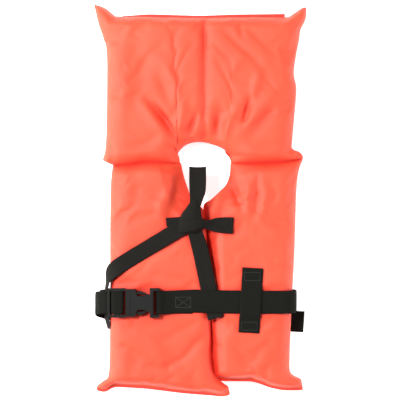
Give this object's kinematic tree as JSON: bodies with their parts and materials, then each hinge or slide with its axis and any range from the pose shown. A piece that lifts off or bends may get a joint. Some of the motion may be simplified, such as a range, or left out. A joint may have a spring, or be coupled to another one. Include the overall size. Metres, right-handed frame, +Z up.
{
  "type": "life jacket",
  "caption": "Keyhole life jacket: stuffed collar and two front panels round a neck hole, with a waist belt, a side-release buckle and a tie tape, lying flat.",
  "frame": {"origin": "on the surface that the jacket lies on, below the middle of its outline", "axes": "+Z up, out of the jacket's front; +Y from the panels to the collar; +X to the wearer's left side, which is the right of the view from the front"},
  "size_m": [0.353, 0.648, 0.0673],
  "materials": {
    "cover_cloth": "satin",
    "seam_cloth": "satin",
    "foam": "matte",
    "belt_webbing": "satin",
    "tie_tape": "matte",
    "thread": "matte",
    "buckle_plastic": "satin"
  },
  "bodies": {
    "jacket": {"panel_left_front_cover": "cover_cloth", "panel_left_back_cover": "cover_cloth", "panel_left_seam": "seam_cloth", "panel_left_foam_front": "foam", "panel_left_foam_middle": "foam", "panel_left_foam_back": "foam", "panel_right_front_cover": "cover_cloth", "panel_right_back_cover": "cover_cloth", "panel_right_seam": "seam_cloth", "panel_right_foam_front": "foam", "panel_right_foam_middle": "foam", "panel_right_foam_back": "foam", "belt_front_run": "belt_webbing", "belt_side_run": "belt_webbing", "belt_back_run": "belt_webbing", "belt_box_stitch": "thread", "belt_keeper": "belt_webbing", "keeper_stitch": "thread", "buckle_socket": "buckle_plastic", "tie_tape_long": "tie_tape", "tie_tape_short": "tie_tape", "tie_knot": "tie_tape", "tie_loop": "tie_tape", "tie_end_left": "tie_tape", "tie_end_right": "tie_tape"},
    "collar": {"collar_left_front_cover": "cover_cloth", "collar_left_back_cover": "cover_cloth", "collar_right_front_cover": "cover_cloth", "collar_right_back_cover": "cover_cloth", "collar_seam": "seam_cloth", "collar_left_foam_front": "foam", "collar_left_foam_middle": "foam", "collar_left_foam_back": "foam", "collar_right_foam_front": "foam", "collar_right_foam_middle": "foam", "collar_right_foam_back": "foam"},
    "plug": {"buckle_plug": "buckle_plastic", "belt_wrap": "belt_webbing", "belt_tail_wrap": "belt_webbing"},
    "arm_upper": {"buckle_arm_upper": "buckle_plastic"},
    "arm_lower": {"buckle_arm_lower": "buckle_plastic"},
    "tail": {"belt_tail": "belt_webbing"}
  },
  "joints": [
    {"name": "shoulder_fold", "type": "hinge", "parent": "jacket", "child": "collar", "pos_m": [0, 0.06, 0.025], "axis": [1, 0, 0], "range_deg": [0, 90]},
    {"name": "buckle_release", "type": "slide", "parent": "jacket", "child": "plug", "axis": [-1, 0, 0], "range_m": [0, 0.028]},
    {"name": "arm_upper_squeeze", "type": "hinge", "parent": "plug", "child": "arm_upper", "pos_m": [-0.117, -0.1505, 0.057], "axis": [0, 0, -1], "range_deg": [0, 17.5], "stiffness_Nm_per_rad": 0.02},
    {"name": "arm_lower_squeeze", "type": "hinge", "parent": "plug", "child": "arm_lower", "pos_m": [-0.117, -0.1845, 0.057], "axis": [0, 0, 1], "range_deg": [0, 17.5], "stiffness_Nm_per_rad": 0.02},
    {"name": "belt_adjust", "type": "slide", "parent": "plug", "child": "tail", "axis": [0.9979, -0.0646, 0], "range_m": [0, 0.05]}
  ],
  "couplings": [
    {"joint": "arm_upper_squeeze", "follows": "buckle_release", "rad_per_m": 10.7},
    {"joint": "arm_lower_squeeze", "follows": "buckle_release", "rad_per_m": 10.7}
  ]
}
